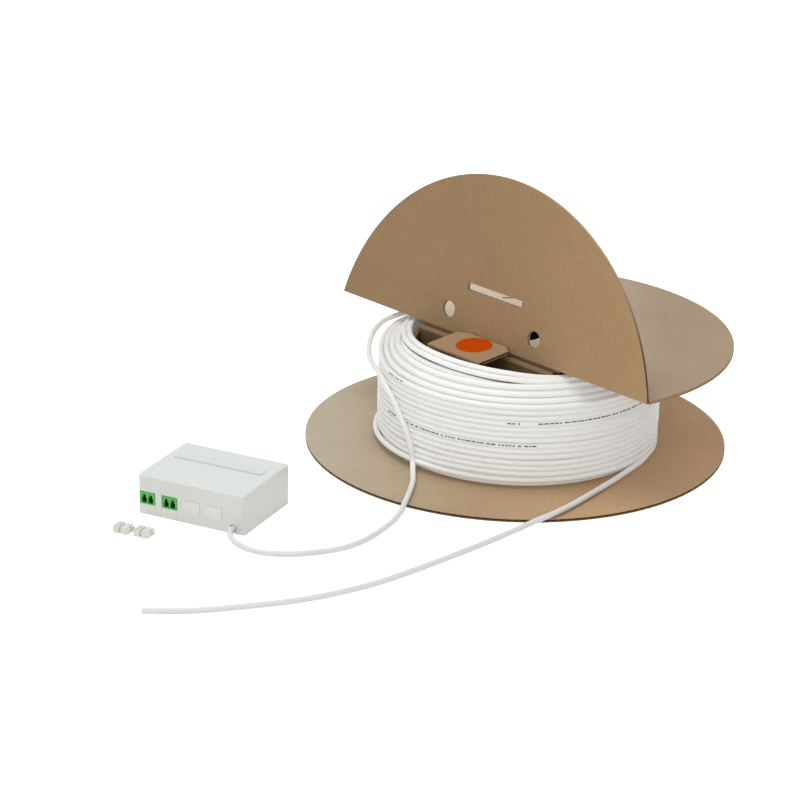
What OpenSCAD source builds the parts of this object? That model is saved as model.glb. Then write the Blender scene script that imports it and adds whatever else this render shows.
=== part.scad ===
// Wall-mount fibre termination box with its pre-fitted cable on a folding cardboard reel.
// Millimetres. Origin: centre of the box's mounting face. +X along the port side to its right,
// +Y from the port side to the back, +Z up, away from the mounting face.

/* [Terminal cover] */
// Width of the cover along the port side
cover_w = 103; // [101:1:116]
// Depth of the cover from the port side to the back
cover_d = 80; // [78:1:90]
// Height of the cover
cover_h = 36; // [30:1:50]
// Wall thickness of the cover
cover_wall = 1.8; // [1.6:0.1:2]
// Radius of the cover's upright edges
corner_r = 3.5; // [3:0.5:4.5]
// Width of the bevel round the top of the cover
top_bevel = 1; // [0.6:0.1:1.4]
// Height of the raised field's front edge
field_step = 1.5; // [0.8:0.1:2]
// Width of the raised field
field_w = 84; // [60:1:90]
// Distance of the raised field's edge behind the port side
field_front = 45; // [38:1:52]
// Distance over which the raised field slopes down to the top
field_run = 14; // [10:1:20]

/* [Base and inside] */
// Thickness of the base plate
base_t = 2.5; // [2:0.1:3]
// Distance between the two wall screws
wall_screw_spacing = 60; // [54:1:64]
// Diameter of the wall screw holes
wall_screw_d = 4.5; // [4:0.1:5]
// Height of the splice tray's underside
tray_z = 6; // [5:0.5:8]
// Thickness of the splice tray's floor and walls
tray_t = 1.2; // [1:0.1:1.6]
// Height of the splice tray
tray_h = 10; // [9:0.5:12]
// Length of a splice protector
splice_l = 30; // [26:1:32]
// Diameter of a splice protector
splice_d = 2.4; // [2:0.1:2.6]
// Diameter of a pigtail fibre
pigtail_d = 0.9; // [0.6:0.1:1.2]
// Diameter of a fibre of the cable
fibre_d = 0.6; // [0.4:0.1:0.7]

/* [Optical ports] */
// Distance of the first bay's centre from the left side of the cover
first_bay = 9.5; // [9.5:0.5:12]
// Width of an adapter
adapter_w = 14.4; // [13.6:0.1:14.6]
// Height of an adapter
adapter_h = 11; // [10.4:0.1:11.6]
// Length of an adapter
adapter_l = 25; // [24:0.5:27]
// Height of the adapters' underside above the mounting face
adapter_z = 9.5; // [9:0.5:11]
// Distance between the two ports of an adapter
port_pitch = 6.25; // [6.1:0.05:6.4]
// Width of a port
port_w = 4.8; // [4.6:0.1:5]
// Height of a port below its latch slot
port_h = 5; // [4.6:0.1:5.2]
// Depth of a port
port_depth = 9.5; // [8:0.5:10]
// Width of a latch slot
latch_w = 2.8; // [2.4:0.1:3.2]
// Height of a latch slot
latch_h = 2.6; // [2:0.1:2.8]

/* [Dust caps] */
// Length of the grip of a dust cap
grip_l = 6; // [5:0.5:8]
// Width of a dust cap
cap_w = 11; // [10.8:0.1:12.4]
// Height of a dust cap
cap_h = 6; // [5.4:0.1:7]
// Length of the prongs of a dust cap
prong_l = 2; // [1.5:0.5:5]

/* [Reel] */
// Diameter of the flanges
flange_d = 383; // [364:1:400]
// Thickness of the corrugated board
board_t = 3; // [2.6:0.1:3.2]
// Clear height between the flanges
reel_gap = 95; // [94:1:104]
// Outer diameter of the hub
hub_d = 196; // [184:1:210]
// Diameter of the spindle hole
spindle_d = 40; // [30:1:50]
// Distance of the flap's crease from the reel's axis
crease_offset = 42.5; // [40:0.5:45]
// How much larger the radius of the flap's rim is than that of the fixed half
flap_more = 3.7; // [0:0.1:5]
// Angle of the flap from its closed position, as it stands
flap_angle = 99; // [92:1:110]
// Diameter of the finger holes
finger_d = 15; // [13:0.5:20]
// Distance between the finger holes
finger_spacing = 106; // [96:1:112]
// Distance of the finger holes from the crease
finger_v = 19.3; // [17:0.1:22]
// Length of the slot that the locking tab's neck goes through
slot_l = 66.5; // [62:0.5:69]
// Height of that slot
slot_h = 6.3; // [5.8:0.1:7]
// Distance of the hub's front wall, which carries the tab, from the hub's round wall
front_inset = 4.8; // [4.4:0.1:6]
// Gap between the locking tab's end and the crease
tab_gap = 3.55; // [3.5:0.05:6]
// Angle by which the locking tab rises from its fold
tab_tilt = 3.5; // [0:0.5:6]
// Border of the locking tab beside the seal on it
seal_border = 1.9; // [1.6:0.1:5]

/* [Cable] */
// Diameter of the cable
cable_d = 5; // [4.8:0.1:5.2]
// Number of layers of cable on the hub
layers = 6; // [5:1:7]
// Whole turns in the outer layer, besides the part turn between its two ends
whole_turns = 15; // [13:1:15]

/* [Hidden] */
$fn = 48;
cut = 0.01;
clear = 0.3;
snug = 0.1;
bays = 4;
adapter_bays = [0, 1];
blank_bays = [2, 3];

// Places on the terminal
front_y = -cover_d / 2;
inner_x = cover_w / 2 - cover_wall;
inner_y = cover_d / 2 - cover_wall;
inner_corner_r = max(corner_r - cover_wall, 0.5);
base_corner_r = max(inner_corner_r - clear, 0.5);
rim_z = 0.3;
cable_x = cover_w / 2 - 10.5;
cable_z = base_t + cable_d / 2 + 0.2;
notch_r = cable_d / 2 + 0.7;
clamp_w = 16;
clamp_l = 8;
clamp_t = 4;
clamp_pitch = 11;
clamp_y = front_y + 11.5;
screw_d = 2.4;
head_d = 4.4;
head_h = 1.6;
end_post = 2.4;
sill_right = cable_x - clamp_w / 2 - 2 * clear;
sill_l = 16;
bay_play = 2 * snug;
first_x = -cover_w / 2 + first_bay;
last_x = sill_right - end_post - snug - adapter_w / 2;
bay_pitch = (last_x - first_x) / (bays - 1);
bay_seam = 0.5;
tongue_seam = 0.08;
post_top = adapter_z + adapter_h + snug;
retainer_t = 2;
retainer_l = 6;
retainer_y = front_y + 7;
port_floor = 1.1;
port_z = adapter_z + port_floor + port_h / 2;
sleeve_d = 1.9;
sleeve_bore = 1.36;
ferrule_d = 1.25;
plug_play = 0.4;
plug_out = 3;
boot_l = 10;
boot_d = 3.6;
adapter_back = front_y + adapter_l;
boot_end = adapter_back + plug_out + boot_l;

// Places on the splice tray
tray_w = 2 * inner_x - 3;
tray_front = boot_end + 8.5;
tray_back = inner_y - 1.5;
tray_mid = (tray_front + tray_back) / 2;
row_pitch = 3.5;
splice_lead = 3;
exit_x = cable_x - 14;
splice_x = exit_x - splice_lead - splice_l;
holder_l = 22;
last_pigtail = first_x + adapter_bays[1] * bay_pitch + port_pitch / 2;
bend_r = min(8, splice_x - last_pigtail - pigtail_d);
strip_y = clamp_y + clamp_l + 5;
boss_d = 6;
boss_in = 6;
boss_x = tray_w / 2 - boss_in;
boss_y = [tray_front + boss_in - 2, tray_back - boss_in + 2];

// Places on the reel. Its own frame has +X along the crease and the flap on the -Y side.
reel_pos = [163, 271, 0];
crease_turn = -20.6;
flange_r = flange_d / 2;
hub_r = hub_d / 2;
hub_in_r = hub_r - board_t;
flange_top = 2 * board_t + reel_gap;
flange_under = board_t + reel_gap;
fold_gap = 0.3;
hinge_w = crease_offset + fold_gap / 2;
hinge_z = flange_top + fold_gap / 2;
key_half = 9;
key_angles = [45, 135, 225, 315];
neck_lead = 1.25;
wall_in_w = hub_in_r - front_inset - board_t;
slot_v = wall_in_w + neck_lead - hinge_w;
tab_l = wall_in_w - hinge_w - tab_gap;
tab_w = slot_l - 4 * clear;
tab_z = flange_top + clear;
crease_l = 4.5;
crease_t = 0.8;
seal_t = 0.2;
seal_u = 0.7;
seal_d = tab_l - crease_l - 2 * seal_border;
seal_v = crease_l + (tab_l - crease_l) / 2 + seal_border - 2 * clear;
slit_l = 9;
slit_h = 2.4;
slit_u = 16;
slit_v = 3.5;
flap_u = 3.3;
front_cut = 7;
front_half = 70;
neck_w = 40;
flap_side = 2.6;
flap_back = 2.1;
crush_l = 6;
tab_corner = [9, 6];
lower_shift = [-1.2, -1.7, 0];

// Places of the winding, which runs clockwise seen from above, from its top to its bottom
layer_pitch = cable_d + 0.07;
loop_rings = 24;
wind_r = hub_r + (layers - 0.5) * layer_pitch;
core_r = wind_r * cos(180 / loop_rings) - cable_d / 2 - clear;
wind_top = flange_under - cable_d / 2 - 1.5;
wind_low = board_t + cable_d / 2 + 0.2;
wind_start = -187;
wind_end = 8;
wind_sweep = 360 * whole_turns + 360 + wind_start - wind_end;
wind_steps = round(wind_sweep * loop_rings / 360);
wind_sides = 6;
tube_sides = 10;
fibre_sides = 8;
fibre_pitch = 0.8;
ring_step = 2.7 * cable_d;

// Dust caps on the floor in front of the ports
cap_places = [[-42.5, -78.9, 0], [-23.4, -77.5, 0]];
neck_l = 1.6;
neck_in = 1.8;
plug_l = 5.4;
prong_s = 4.2;

// The cable's free stretches, from the box to the winding and from the winding to the cut end
lead_floor = [[44.6, -51, 3.6], [52.2, -57.5, 2.6], [63.3, -63.2, 2.6], [74.3, -65.5, 2.6], [85.5, -64.4, 2.6],
    [96, -61, 2.6], [105.5, -56, 2.6], [112, -51.5, 2.6], [125, -40, 2.6], [136, -27, 2.6], [143, -12, 2.6],
    [147, 4, 2.6], [149, 25, 2.6], [149, 46, 2.6], [147, 63, 3.6], [144, 76, 5.6], [140, 91, 6], [131, 118, 6],
    [123, 135, 7]];
lead_climb = [[116.2, 148.4, 11.2], [113.4, 149.6, 24.2], [108.6, 151.6, 35.1], [102.8, 154.4, 43.4],
    [95.2, 158.7, 53.1], [86.9, 164.1, 61.2], [74.7, 174, 68.2], [65.6, 181, 74.5], [53, 192, 78.5],
    [45, 202.2, 81.5], [39.2, 213.6, 86], [35.4, 226.2, 90.5], [31.7, 244, 92.2], [31, 262, 93.3]];
tail_route = [[289.3, 262, 5.7], [288.3, 246, 5.7], [286.3, 229, 5.7], [283.9, 208, 5.7], [280.4, 186, 5.8],
    [276.3, 161, 5.9], [271.8, 137, 6], [266.2, 116, 6.1], [259.6, 99, 5.6], [250, 77, 3.8], [238.5, 47, 2.6],
    [222.5, 3, 2.6], [206, -39, 2.6], [186.5, -80, 2.6], [156, -123.5, 2.6], [122, -156.5, 2.6],
    [85, -186.5, 2.6], [52, -204, 2.6]];

white = [0.87, 0.88, 0.86];
kraft = [0.66, 0.52, 0.37];
green = [0.25, 0.68, 0.25];
jacket = [0.93, 0.93, 0.91];
steel = [0.7, 0.7, 0.72];

// Vector helpers for the swept cable
function unit(v) = v / norm(v);
function curve_point(a, b, c, d, t) =
    0.5 * (2 * b + (c - a) * t + (2 * a - 5 * b + 4 * c - d) * t * t + (3 * b - a - 3 * c + d) * t * t * t);
function curve(p, per) = [
    for (i = [0:len(p) - 2])
        for (k = [0:per - 1])
            curve_point(p[max(i - 1, 0)], p[i], p[i + 1], p[min(i + 2, len(p) - 1)], k / per),
    p[len(p) - 1]];
function lengths(p, i = 0, sum = 0, out = []) = i == len(p) ? out
    : let (s = i == 0 ? 0 : sum + norm(p[i] - p[i - 1])) lengths(p, i + 1, s, concat(out, [s]));
function at_length(p, l, s, i = 0) = i >= len(p) - 2 || l[i + 1] >= s
    ? p[i] + (p[i + 1] - p[i]) * (s - l[i]) / (l[i + 1] - l[i])
    : at_length(p, l, s, i + 1);
function even(p, step) = let (l = lengths(p), whole = l[len(l) - 1], n = round(whole / step))
    [for (k = [0:n]) at_length(p, l, whole * k / n)];
function heading(p, i) = unit(p[min(i + 1, len(p) - 1)] - p[max(i - 1, 0)]);
function ring(p, i, r, n) = let (t = heading(p, i), side = unit(cross(t, [0, 0, 1])), up = cross(side, t))
    [for (k = [0:n - 1]) p[i] + r * (side * cos(360 * k / n) + up * sin(360 * k / n))];

// A closed tube of n sides along the points p
module tube(p, d, n) {
    points = [for (i = [0:len(p) - 1]) each ring(p, i, d / 2, n)];
    ends = [[for (k = [1:n - 2]) [0, k, k + 1]],
        let (o = (len(p) - 1) * n) [for (k = [1:n - 2]) [o, o + k + 1, o + k]]];
    walls = [for (i = [0:len(p) - 2]) for (k = [0:n - 1])
        let (a = i * n + k, b = i * n + (k + 1) % n) each [[a, a + n, b], [b, a + n, b + n]]];
    polyhedron(points, concat(ends[0], ends[1], walls), convexity = 10);
}

// Points of the outer layer, with a straight run of one cable diameter at each end
function wind_angle(i) = wind_start - wind_sweep * i / wind_steps;
function wind_point(i) = reel_pos + [wind_r * cos(wind_angle(i)), wind_r * sin(wind_angle(i)),
    wind_top + (wind_low - wind_top) * i / wind_steps];
function clockwise(a) = [sin(a), -cos(a), 0];
lead_end = wind_point(0) - cable_d * clockwise(wind_angle(0));
tail_start = wind_point(wind_steps) + cable_d * clockwise(wind_angle(wind_steps));
wind_path = concat([lead_end], [for (i = [0:wind_steps]) wind_point(i)], [tail_start]);
wind_gap = min([for (i = [0:wind_steps - loop_rings])
    for (k = [loop_rings / 2:min(2 * loop_rings, wind_steps - i)])
        norm(wind_point(i) - wind_point(i + k))]) - cable_d;
echo(least_gap_between_turns = wind_gap);

exit_point = [cable_x, front_y, cable_z];
lead_first = exit_point - [0, cable_d, 0];
lead_last = lead_end - cable_d * clockwise(wind_angle(0));
tail_first = tail_start + cable_d * clockwise(wind_angle(wind_steps));
lead_route = concat([lead_first], lead_floor, lead_climb, [lead_last]);
lead_path = concat([exit_point], even(curve(lead_route, 6), ring_step), [lead_end]);
tail_path = concat([tail_start], even(curve(concat([tail_first], tail_route), 6), ring_step));
echo(lead_length = max(lengths(lead_path)), tail_length = max(lengths(tail_path)));

function bay_x(i) = first_x + i * bay_pitch;
function port_x(bay, side) = bay_x(bay) + side * port_pitch / 2;
pigtail_xs = [for (bay = adapter_bays) for (side = [-1, 1]) port_x(bay, side)];
function row_y(i) = tray_mid + (1.5 - i) * row_pitch;

module at_reel() {
    translate(reel_pos) rotate([0, 0, crease_turn]) children();
}

// A plate with round corners, from z = 0 up
module round_plate(w, d, h, r) {
    translate([-w / 2, -d / 2 + r, 0]) cube([w, d - 2 * r, h]);
    translate([-w / 2 + r, -d / 2, 0]) cube([w - 2 * r, d, h]);
    for (x = [-1, 1], y = [-1, 1])
        translate([x * (w / 2 - r), y * (d / 2 - r), 0]) cylinder(r = r, h = h);
}

// A cylinder that lies along Y from y0 to y1
module along_y(x, z, d, y0, y1, d2 = 0) {
    translate([x, y0, z]) rotate([-90, 0, 0]) cylinder(d1 = d, d2 = d2 > 0 ? d2 : d, h = y1 - y0);
}

// A part of a ring about Z, centred on angle a
module ring_part(r0, r1, h, a, half) {
    rotate([0, 0, a - half]) rotate_extrude(angle = 2 * half) translate([r0, 0]) square([r1 - r0, h]);
}

// Cross-section of a port with its latch slot, drilled along Y from y0 to y1
module port_hole(x, y0, y1) {
    translate([x - port_w / 2, y0, adapter_z + port_floor]) cube([port_w, y1 - y0, port_h]);
    translate([x - latch_w / 2, y0, adapter_z + port_floor]) cube([latch_w, y1 - y0, port_h + latch_h]);
}

// A screw with its head's underside at z = 0
module screw(l) {
    translate([0, 0, -l]) cylinder(d = screw_d, h = l);
    difference() {
        cylinder(d = head_d, h = head_h);
        for (a = [0, 90])
            rotate([0, 0, a]) translate([-1.4, -0.3, head_h - 0.8]) cube([2.8, 0.6, 1]);
    }
}

module base_plate() {
    color(white) difference() {
        union() {
            round_plate(2 * (inner_x - clear), 2 * (inner_y - clear), base_t, base_corner_r);
            translate([-inner_x + 2 * clear, front_y + cover_wall + clear, 0])
                cube([sill_right + inner_x - 2 * clear, sill_l, adapter_z]);
            for (i = [0:bays - 1]) {
                translate([bay_x(i) - adapter_w / 2 - bay_seam + tongue_seam, front_y, rim_z])
                    cube([adapter_w + 2 * (bay_seam - tongue_seam), cover_wall + clear + 1, adapter_z - rim_z]);
                if (i < bays - 1)
                    translate([bay_x(i) + adapter_w / 2 + snug, front_y + cover_wall + clear, 0])
                        cube([bay_pitch - adapter_w - bay_play, sill_l, post_top]);
            }
            translate([sill_right - end_post, front_y + cover_wall + clear, 0])
                cube([end_post, sill_l, post_top]);
            translate([cable_x - clamp_w / 2, clamp_y, 0]) cube([clamp_w, clamp_l, cable_z - snug]);
            for (x = [-1, 1], y = boss_y) translate([x * boss_x, y, 0]) cylinder(d = boss_d, h = tray_z);
        }
        for (x = [-1, 1])
            translate([x * wall_screw_spacing / 2, 0, -cut]) cylinder(d = wall_screw_d, h = base_t + 2 * cut);
        for (i = [0, 2]) translate([bay_x(i) + bay_pitch / 2, retainer_y + retainer_l / 2, adapter_z])
            cylinder(d = screw_d + bay_play, h = adapter_h + 1);
        along_y(cable_x, cable_z, cable_d + bay_play, clamp_y - 1, clamp_y + clamp_l + 1);
        for (x = [-1, 1]) translate([cable_x + x * clamp_pitch / 2, clamp_y + clamp_l / 2, 1])
            cylinder(d = screw_d + bay_play, h = cable_z);
        for (x = [-1, 1]) translate([x * boss_x, boss_y[1], 1]) cylinder(d = screw_d + bay_play, h = tray_z);
    }
}

// A duplex adapter with open ports at the front and at the back, and a bore for each sleeve between them
module adapter(bay) {
    color(green) difference() {
        translate([bay_x(bay) - adapter_w / 2, front_y, adapter_z]) cube([adapter_w, adapter_l, adapter_h]);
        for (side = [-1, 1]) {
            port_hole(port_x(bay, side), front_y - 1, front_y + port_depth);
            port_hole(port_x(bay, side), adapter_back - port_depth, adapter_back + 1);
            along_y(port_x(bay, side), port_z, sleeve_d + snug, front_y + 1, adapter_back - 1);
        }
    }
}
module adapter_left() { adapter(adapter_bays[0]); }
module adapter_right() { adapter(adapter_bays[1]); }

module alignment_sleeves() {
    color("ivory") for (x = pigtail_xs) difference() {
        along_y(x, port_z, sleeve_d, front_y + port_depth, adapter_back - port_depth);
        along_y(x, port_z, sleeve_bore, front_y + port_depth - 1, adapter_back - port_depth + 1);
    }
}

module adapter_retainer() {
    color(white) difference() {
        translate([-inner_x + 1, retainer_y, post_top])
            cube([sill_right + inner_x - 1, retainer_l, retainer_t]);
        for (i = [0, 2]) translate([bay_x(i) + bay_pitch / 2, retainer_y + retainer_l / 2, post_top - cut])
            cylinder(d = screw_d + bay_play, h = retainer_t + 2 * cut);
    }
}

module retainer_screws() {
    color(steel) for (i = [0, 2])
        translate([bay_x(i) + bay_pitch / 2, retainer_y + retainer_l / 2, post_top + retainer_t])
            screw(retainer_t + 6);
}

// Plug, ferrule and boot of each pigtail, in the adapters' inner ports
module pigtail_connectors() {
    nose = adapter_back - port_depth + plug_play;
    for (x = pigtail_xs) {
        color(green) translate([x - (port_w - plug_play) / 2, nose, port_z - (port_h - plug_play) / 2])
            cube([port_w - plug_play, adapter_back + plug_out - nose, port_h - plug_play]);
        color("ivory") along_y(x, port_z, ferrule_d, front_y + adapter_l / 2 + 0.5, nose + 1);
        color(white) along_y(x, port_z, boot_d, adapter_back + plug_out - 1, boot_end, pigtail_d + 0.8);
    }
}

// Points of a level quarter turn about a centre, from angle a0 to angle a1
function bend(centre, r, a0, a1) = [
    for (k = [0:3]) let (a = a0 + (a1 - a0) * k / 3) centre + [r * cos(a), r * sin(a), 0]];

// Each pigtail leaves its boot backwards and turns along the tray to its splice
module pigtail_fibres() {
    color("khaki") for (i = [0:len(pigtail_xs) - 1])
        tube(concat([[pigtail_xs[i], boot_end, port_z]],
            bend([pigtail_xs[i] + bend_r, row_y(i) - bend_r, port_z], bend_r, 180, 90),
            [[splice_x, row_y(i), port_z]]), pigtail_d, fibre_sides);
}

module splice_tray() {
    color(white) difference() {
        union() {
            translate([-tray_w / 2, tray_front, tray_z]) cube([tray_w, tray_back - tray_front, tray_t]);
            translate([-tray_w / 2, tray_back - tray_t, tray_z]) cube([tray_w, tray_t, tray_h]);
            for (x = [-tray_w / 2, tray_w / 2 - tray_t])
                translate([x, tray_front, tray_z]) cube([tray_t, tray_back - tray_front, tray_h]);
        }
        for (x = [-1, 1]) translate([x * boss_x, boss_y[1], tray_z - cut])
            cylinder(d = screw_d + bay_play, h = tray_t + 2 * cut);
    }
}

module tray_screws() {
    color(steel) for (x = [-1, 1]) translate([x * boss_x, boss_y[1], tray_z + tray_t]) screw(tray_t + 3);
}

// Comb with an open groove for each splice protector
module splice_holder() {
    middle = splice_x + splice_l / 2;
    color(white) difference() {
        translate([middle - holder_l / 2, row_y(3) - row_pitch / 2, tray_z + tray_t])
            cube([holder_l, 4 * row_pitch, port_z + 0.5 - tray_z - tray_t]);
        for (i = [0:3]) translate([middle - holder_l, row_y(i), port_z])
            rotate([0, 90, 0]) cylinder(d = splice_d + bay_play, h = 2 * holder_l);
    }
}

module splice_protectors() {
    color("lightgrey") for (i = [0:3])
        translate([splice_x, row_y(i), port_z]) rotate([0, 90, 0]) cylinder(d = splice_d, h = splice_l);
}

// The cable's fibres turn from the splices towards the cable and drop into its stripped end
module cable_fibres() {
    centre_y = row_y(3) - bend_r;
    color("deepskyblue") for (i = [0:3])
        tube(concat([[splice_x + splice_l, row_y(i), port_z]],
            bend([exit_x, centre_y, port_z], row_y(i) - centre_y, 90, 0),
            [[cable_x + (1.5 - i) * fibre_pitch, strip_y + fibre_pitch, cable_z],
                [cable_x + (1.5 - i) * fibre_pitch, strip_y, cable_z]]), fibre_d, fibre_sides);
}

module cable_entry() {
    color(jacket) along_y(cable_x, cable_z, cable_d, front_y, strip_y);
}

module cable_clamp() {
    color(white) difference() {
        translate([cable_x - clamp_w / 2, clamp_y, cable_z + snug]) cube([clamp_w, clamp_l, clamp_t]);
        along_y(cable_x, cable_z, cable_d + bay_play, clamp_y - 1, clamp_y + clamp_l + 1);
        for (x = [-1, 1]) translate([cable_x + x * clamp_pitch / 2, clamp_y + clamp_l / 2, cable_z])
            cylinder(d = screw_d + bay_play, h = clamp_t + 1);
    }
}

module clamp_screws() {
    color(steel) for (x = [-1, 1])
        translate([cable_x + x * clamp_pitch / 2, clamp_y + clamp_l / 2, cable_z + snug + clamp_t])
            screw(clamp_t + cable_z - 1.5);
}

// The shell lifts straight off: its bay slots and its cable notch are open at the bottom
module box_cover() {
    color(white) difference() {
        union() {
            translate([0, 0, rim_z]) hull() {
                round_plate(cover_w, cover_d, cover_h - rim_z - top_bevel, corner_r);
                round_plate(cover_w - 2 * top_bevel, cover_d - 2 * top_bevel, cover_h - rim_z,
                    corner_r - top_bevel);
            }
            translate([-field_w / 2, front_y + field_front, cover_h])
                rotate([90, 0, 90]) linear_extrude(field_w)
                    polygon([[0, -cover_wall / 2], [0, field_step],
                        [field_run, 0], [field_run, -cover_wall / 2]]);
        }
        round_plate(2 * inner_x, 2 * inner_y, cover_h - cover_wall, inner_corner_r);
        for (i = [0:bays - 1])
            translate([bay_x(i) - adapter_w / 2 - bay_seam, front_y - 1, 0])
                cube([adapter_w + 2 * bay_seam, cover_wall + inner_corner_r + 1.5,
                    adapter_z + adapter_h + bay_seam]);
        translate([cable_x - notch_r, front_y - 1, 0]) cube([2 * notch_r, cover_wall + 2, cable_z]);
        along_y(cable_x, cable_z, 2 * notch_r, front_y - 1, front_y + cover_wall + 1);
    }
}

// Snap-in blank for an unused bay: a face with a finger lip and two legs
module blank_insert(bay) {
    face_t = 2;
    proud = 0.5;
    leg_l = 12;
    leg_t = 1.2;
    lip = 1;
    more = bay_seam - tongue_seam;
    color(white) translate([bay_x(bay), front_y, adapter_z]) {
        translate([-adapter_w / 2 - more, -proud, snug])
            cube([adapter_w + 2 * more, face_t + proud, adapter_h + more - snug]);
        translate([-adapter_w / 2 + lip, -2 * proud, lip]) cube([adapter_w - 2 * lip, face_t, lip]);
        for (x = [-1, 1])
            translate([x * (adapter_w / 2 - leg_t) - leg_t / 2, face_t - cut, lip])
                cube([leg_t, leg_l, adapter_h - 2 * lip]);
    }
}
module blank_insert_left() { blank_insert(blank_bays[0]); }
module blank_insert_right() { blank_insert(blank_bays[1]); }

// Duplex dust cap on its side: a ribbed grip, a neck, a body and two prongs
module dust_cap(place) {
    rib = 0.4;
    body_l = grip_l + neck_l + plug_l;
    color(white) translate(place) {
        difference() {
            translate([-body_l / 2, -cap_w / 2, 0]) cube([grip_l, cap_w, cap_h]);
            for (k = [1:3]) translate([-body_l / 2 + k * grip_l / 4 - rib, -cap_w, cap_h - rib])
                cube([2 * rib, 2 * cap_w, 2 * rib]);
        }
        translate([-body_l / 2 + grip_l - cut, -cap_w / 2 + neck_in, 0])
            cube([neck_l + 2 * cut, cap_w - 2 * neck_in, cap_h - neck_in]);
        translate([body_l / 2 - plug_l, -cap_w / 2, 0]) cube([plug_l, cap_w, cap_h]);
        for (y = [-1, 1]) translate([body_l / 2 - cut, y * port_pitch / 2 - prong_s / 2, (cap_h - prong_s) / 2])
            cube([prong_l, prong_s, prong_s]);
    }
}
module dust_cap_left() { dust_cap(cap_places[0]); }
module dust_cap_right() { dust_cap(cap_places[1]); }

// Slots for the hub's keys, and the spindle hole, through a flange at height z
module flange_holes(z, angles) {
    translate([0, 0, z - 1]) {
        cylinder(d = spindle_d, h = board_t + 2);
        for (a = angles) ring_part(hub_in_r - clear, hub_r + clear, board_t + 2, a, key_half + clear);
    }
}

module lower_flange() {
    color(kraft) at_reel() difference() {
        translate(lower_shift) cylinder(r = flange_r, h = board_t, $fn = 160);
        flange_holes(0, key_angles);
    }
}

// Round strip of board, cut back between the keys that go into both flanges, and lower under the flap
module hub_shell() {
    half_gap = 45 - key_half;
    color(kraft) at_reel() difference() {
        translate([0, 0, clear]) cylinder(r = hub_r, h = flange_top - 2 * clear, $fn = 120);
        translate([0, 0, -1]) cylinder(r = hub_in_r, h = flange_top + 2, $fn = 120);
        for (a = key_angles)
            translate([0, 0, -1]) ring_part(hub_in_r - 2, hub_r + 2, board_t + 1, a + 45, half_gap);
        translate([0, 0, flange_under - clear]) {
            ring_part(hub_in_r - 2, hub_r + 2, board_t + 2, 90, half_gap);
            ring_part(hub_in_r - 2, hub_r + 2, board_t + 2, 270, half_gap + 90);
        }
        translate([0, 0, flange_under - front_cut])
            ring_part(hub_in_r - 2, hub_r + 2, front_cut + 1, 270, front_half);
    }
}

// Upright wall in front of the crease
module hub_cross_wall() {
    in_w = crease_offset + clear;
    out_w = in_w + board_t;
    half = sqrt(hub_in_r * hub_in_r - out_w * out_w) - clear;
    color(kraft) at_reel()
        translate([-half, -out_w, board_t]) cube([2 * half, board_t, reel_gap - clear]);
}

// Upright wall at the front of the hub, with the neck that goes through the flap's slot
module hub_front_wall() {
    out_w = wall_in_w + board_t;
    half = sqrt(hub_in_r * hub_in_r - out_w * out_w) - clear;
    neck_z = flange_under - front_cut + 1;
    color(kraft) at_reel() {
        translate([-half, -out_w, board_t]) cube([2 * half, board_t, neck_z - board_t]);
        translate([flap_u - neck_w / 2, -out_w, board_t]) cube([neck_w, board_t, tab_z - clear - board_t]);
    }
}

// The board is crushed to a thin web beside the crease
module upper_flange_fixed() {
    color(kraft) at_reel() difference() {
        intersection() {
            translate([0, 0, flange_under]) cylinder(r = flange_r, h = board_t, $fn = 160);
            translate([-flange_r, -crease_offset, 0])
                cube([2 * flange_r, flange_r + crease_offset, flange_top]);
        }
        flange_holes(flange_under, [key_angles[0], key_angles[1]]);
        translate([-flange_r, -crease_offset - 1, flange_under - 1])
            cube([2 * flange_r, crush_l + 1, board_t + 1 - crease_t]);
    }
}

// The flap stands on its crease. Closed, it completes the upper flange.
module upper_flange_flap() {
    color(kraft) at_reel() translate([0, -hinge_w, hinge_z]) rotate([-flap_angle, 0, 0])
        translate([0, 0, -board_t - fold_gap / 2]) difference() {
            intersection() {
                translate([flap_side, hinge_w + flap_back, 0])
                    cylinder(r = flange_r + flap_more, h = board_t, $fn = 160);
                translate([-2 * flange_r, -flange_r, 0])
                    cube([4 * flange_r, flange_r - fold_gap / 2, board_t]);
            }
            for (x = [-1, 1]) {
                translate([flap_u + x * finger_spacing / 2, -finger_v, -1])
                    cylinder(d = finger_d, h = board_t + 2);
                translate([flap_u + x * slit_u - slit_l / 2, -slit_v - slit_h / 2, -1])
                    cube([slit_l, slit_h, board_t + 2]);
            }
            translate([flap_u - slot_l / 2, -slot_v - slot_h / 2, -1]) cube([slot_l, slot_h, board_t + 2]);
        }
}

// The tab lies folded back from the front wall and rises a little: a pressed crease, then the full board
module at_tab() {
    at_reel() translate([flap_u, -wall_in_w, tab_z]) rotate([tab_tilt, 0, 0]) children();
}

module locking_tab() {
    side = tab_w / 2;
    color(kraft) at_tab() {
        translate([-side, 0, 0]) cube([tab_w, crease_l + cut, crease_t]);
        linear_extrude(board_t) polygon([[-side, crease_l], [side, crease_l], [side, tab_l - tab_corner[1]],
            [side - tab_corner[0], tab_l], [tab_corner[0] - side, tab_l], [-side, tab_l - tab_corner[1]]]);
    }
}

module tab_seal() {
    color("orangered") at_tab() translate([seal_u, seal_v, board_t]) cylinder(d = seal_d, h = seal_t);
}

// The inner layers of the winding
module winding_core() {
    color(jacket) translate(reel_pos) rotate_extrude($fn = 120)
        translate([hub_r + clear, board_t + clear]) square([core_r - hub_r - clear, reel_gap - 2 * clear]);
}

module cable_winding() { color(jacket) tube(wind_path, cable_d, wind_sides); }
module cable_lead() { color(jacket) tube(lead_path, cable_d, tube_sides); }
module cable_tail() { color(jacket) tube(tail_path, cable_d, tube_sides); }

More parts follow.
